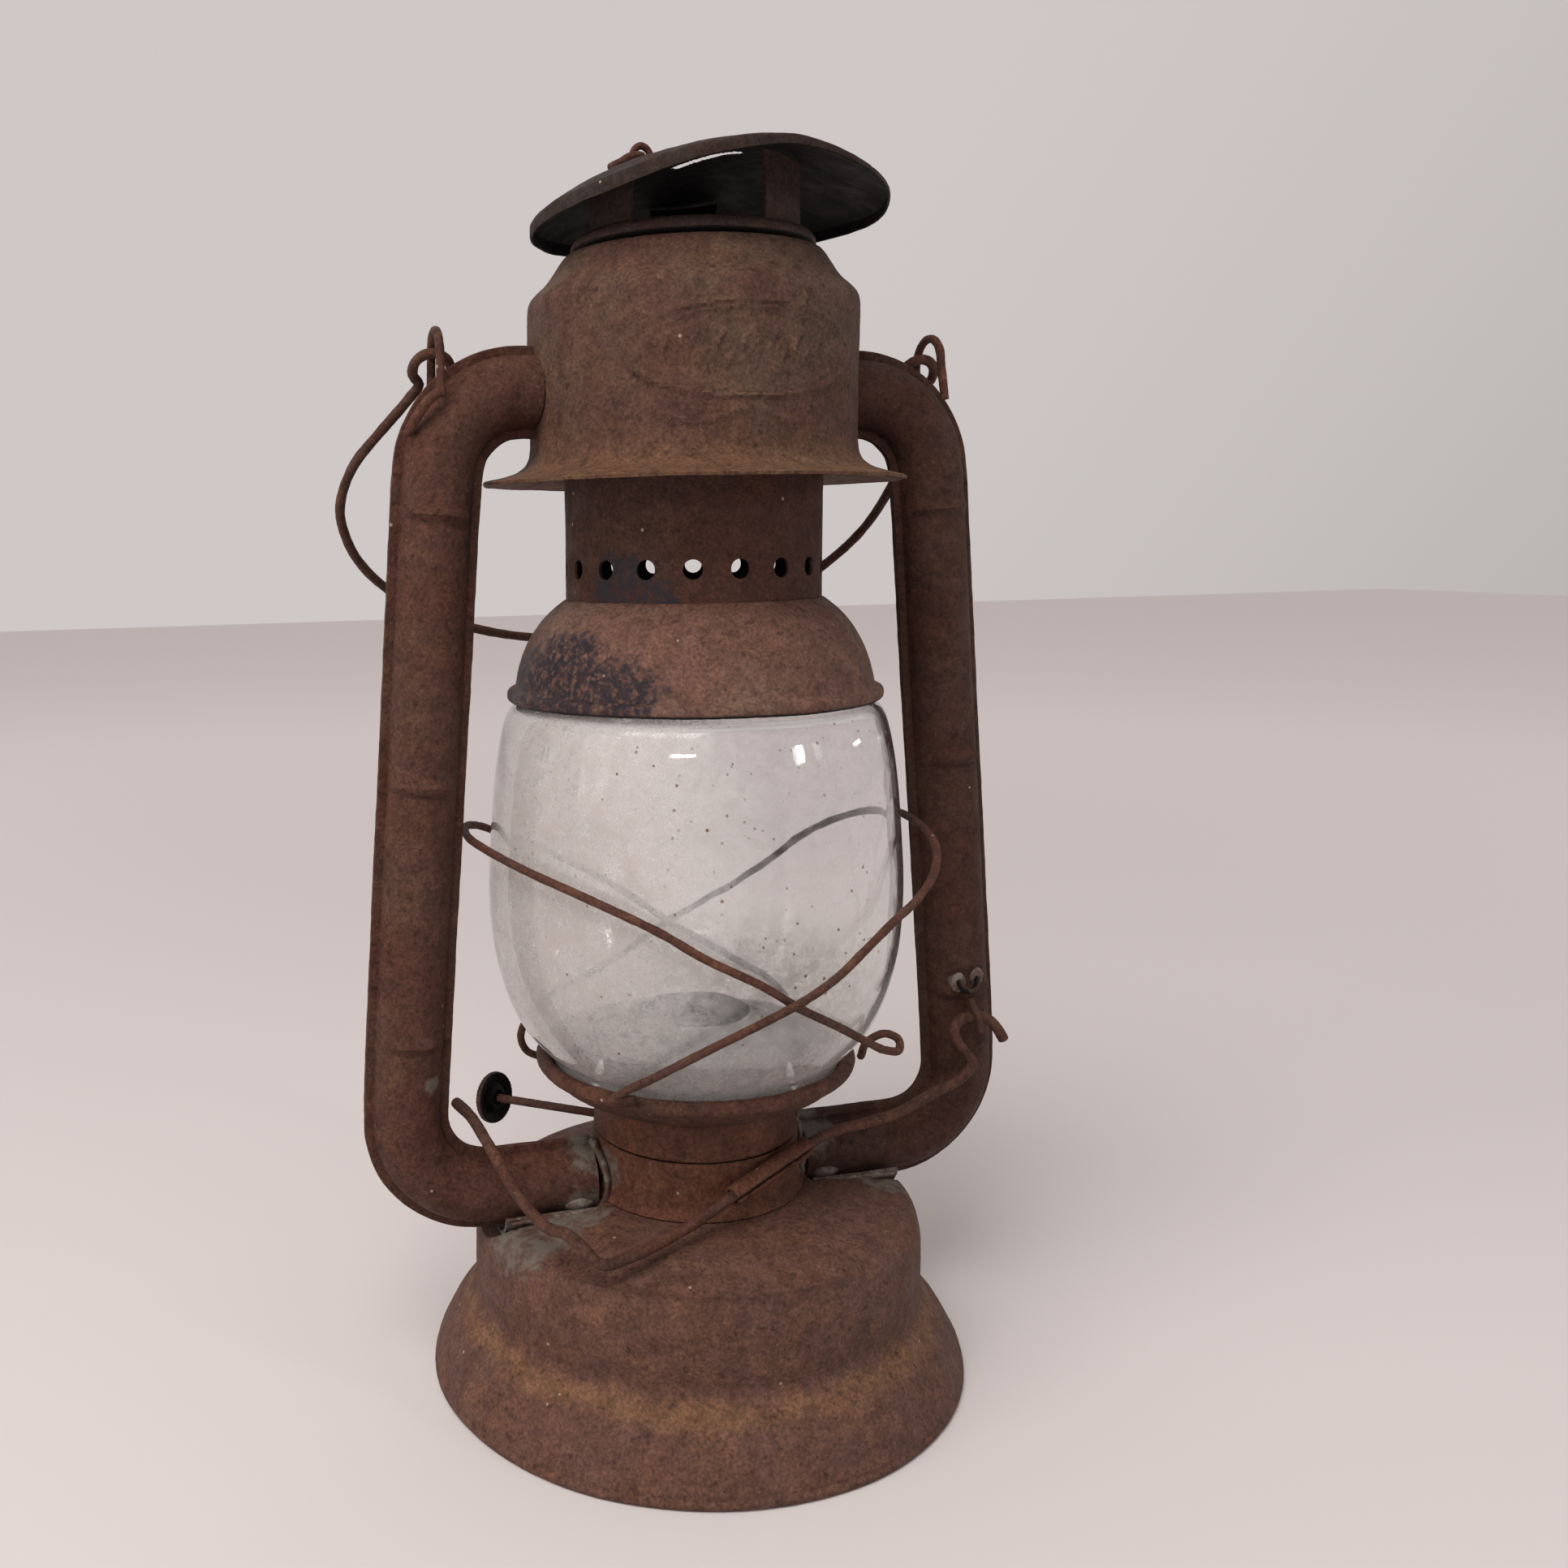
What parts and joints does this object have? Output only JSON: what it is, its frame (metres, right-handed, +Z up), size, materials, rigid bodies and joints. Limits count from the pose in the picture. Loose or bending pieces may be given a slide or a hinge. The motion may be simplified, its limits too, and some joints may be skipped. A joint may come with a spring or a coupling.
{
  "type": "hanging lantern",
  "caption": "Tubular cold-blast kerosene lantern with a glass globe, guard wires, a lifting globe carrier and chimney, a wick raiser, a fuel fount and a swinging wire bail.",
  "frame": {"origin": "centre of the circular foot, in the plane it stands on", "axes": "+Z up; X through the two side tubes, with the lift lever's handle at +X; -Y is the front"},
  "size_m": [0.1894, 0.1536, 0.3357],
  "materials": {
    "rusted_tinplate": "matte rust",
    "dark_rust": "matte dark rust",
    "rusted_wire": "matte rusted wire",
    "solder_zinc": "dull solder",
    "burner_brass": "tarnished",
    "globe_glass": "clear, dusty",
    "wick_cotton": "woven cotton",
    "gasket_cork": "cork"
  },
  "bodies": {
    "frame": {"fount_shell": "rusted_tinplate", "fount_bottom": "dark_rust", "filler_neck": "solder_zinc", "air_chamber": "rusted_tinplate", "burner_collar": "rusted_tinplate", "burner_cone": "solder_zinc", "burner_body": "burner_brass", "wick_tube": "burner_brass", "tube_left_front": "rusted_tinplate", "tube_left_rear": "rusted_tinplate", "tube_right_front": "rusted_tinplate", "tube_right_rear": "rusted_tinplate", "tube_saddle_left": "solder_zinc", "tube_saddle_right": "solder_zinc", "hood": "rusted_tinplate", "hood_spring": "solder_zinc", "ear_left": "rusted_wire", "ear_right": "rusted_wire", "lever_sleeve": "solder_zinc", "lever_catch": "solder_zinc"},
    "wick": {"wick": "wick_cotton"},
    "wick_raiser": {"wick_shaft": "rusted_wire", "wick_knob": "rusted_wire"},
    "globe_carrier": {"globe_plate": "rusted_tinplate", "globe": "globe_glass", "guard_wire_a": "rusted_wire", "guard_wire_b": "rusted_wire"},
    "chimney": {"chimney_tube": "rusted_tinplate", "chimney_neck": "rusted_tinplate", "dome": "rusted_tinplate", "neck_ring": "rusted_tinplate", "cap_strap_1": "rusted_tinplate", "cap_strap_2": "rusted_tinplate", "cap_strap_3": "rusted_tinplate", "rain_cap": "rusted_tinplate", "ring_lug": "rusted_wire"},
    "lift_ring": {"lift_ring": "rusted_wire"},
    "bail": {"bail": "rusted_wire"},
    "lever": {"lift_lever": "rusted_wire"},
    "filler_cap": {"filler_cap": "rusted_tinplate"},
    "filler_gasket": {"filler_gasket": "gasket_cork"}
  },
  "joints": [
    {"name": "globe_lift", "type": "slide", "parent": "frame", "child": "globe_carrier", "axis": [0, 0, 1], "range_m": [0, 0.008]},
    {"name": "lever_turn", "type": "hinge", "parent": "frame", "child": "lever", "pos_m": [0.011, -0.0304, 0.0662], "axis": [0.9052, 0.3361, 0.2601], "range_deg": [0, 22.2]},
    {"name": "chimney_lift", "type": "slide", "parent": "globe_carrier", "child": "chimney", "axis": [0, 0, 1], "range_m": [0, 0.018], "deforming": ["hood_spring"]},
    {"name": "lift_ring_turn", "type": "hinge", "parent": "chimney", "child": "lift_ring", "pos_m": [-0.013, 0.0022, 0.3325], "axis": [0, 1, 0], "range_deg": [0, 90]},
    {"name": "bail_swing", "type": "hinge", "parent": "frame", "child": "bail", "pos_m": [0, 0, 0.281], "axis": [1, 0, 0], "range_deg": [0, 144]},
    {"name": "wick_knob_turn", "type": "hinge", "parent": "frame", "child": "wick_raiser", "pos_m": [0, 0, 0.0672], "axis": [-0.6402, 0.763, -0.0896], "range_deg": [-90, 90]},
    {"name": "wick_slide", "type": "slide", "parent": "frame", "child": "wick", "axis": [0, 0, 1], "range_m": [-0.006, 0.006]},
    {"name": "filler_cap_turn", "type": "hinge", "parent": "filler_gasket", "child": "filler_cap", "pos_m": [0.006, 0.0465, 0.058], "axis": [0, 0, 1], "range_deg": [0, 900]},
    {"name": "filler_cap_rise", "type": "slide", "parent": "frame", "child": "filler_gasket", "axis": [0, 0, 1], "range_m": [0, 0.0063]}
  ],
  "couplings": [
    {"joint": "lever_turn", "follows": "globe_lift", "rad_per_m": 47.997},
    {"joint": "wick_slide", "follows": "wick_knob_turn", "m_per_rad": 0.0036},
    {"joint": "filler_cap_rise", "follows": "filler_cap_turn", "m_per_rad": 0.0004}
  ]
}
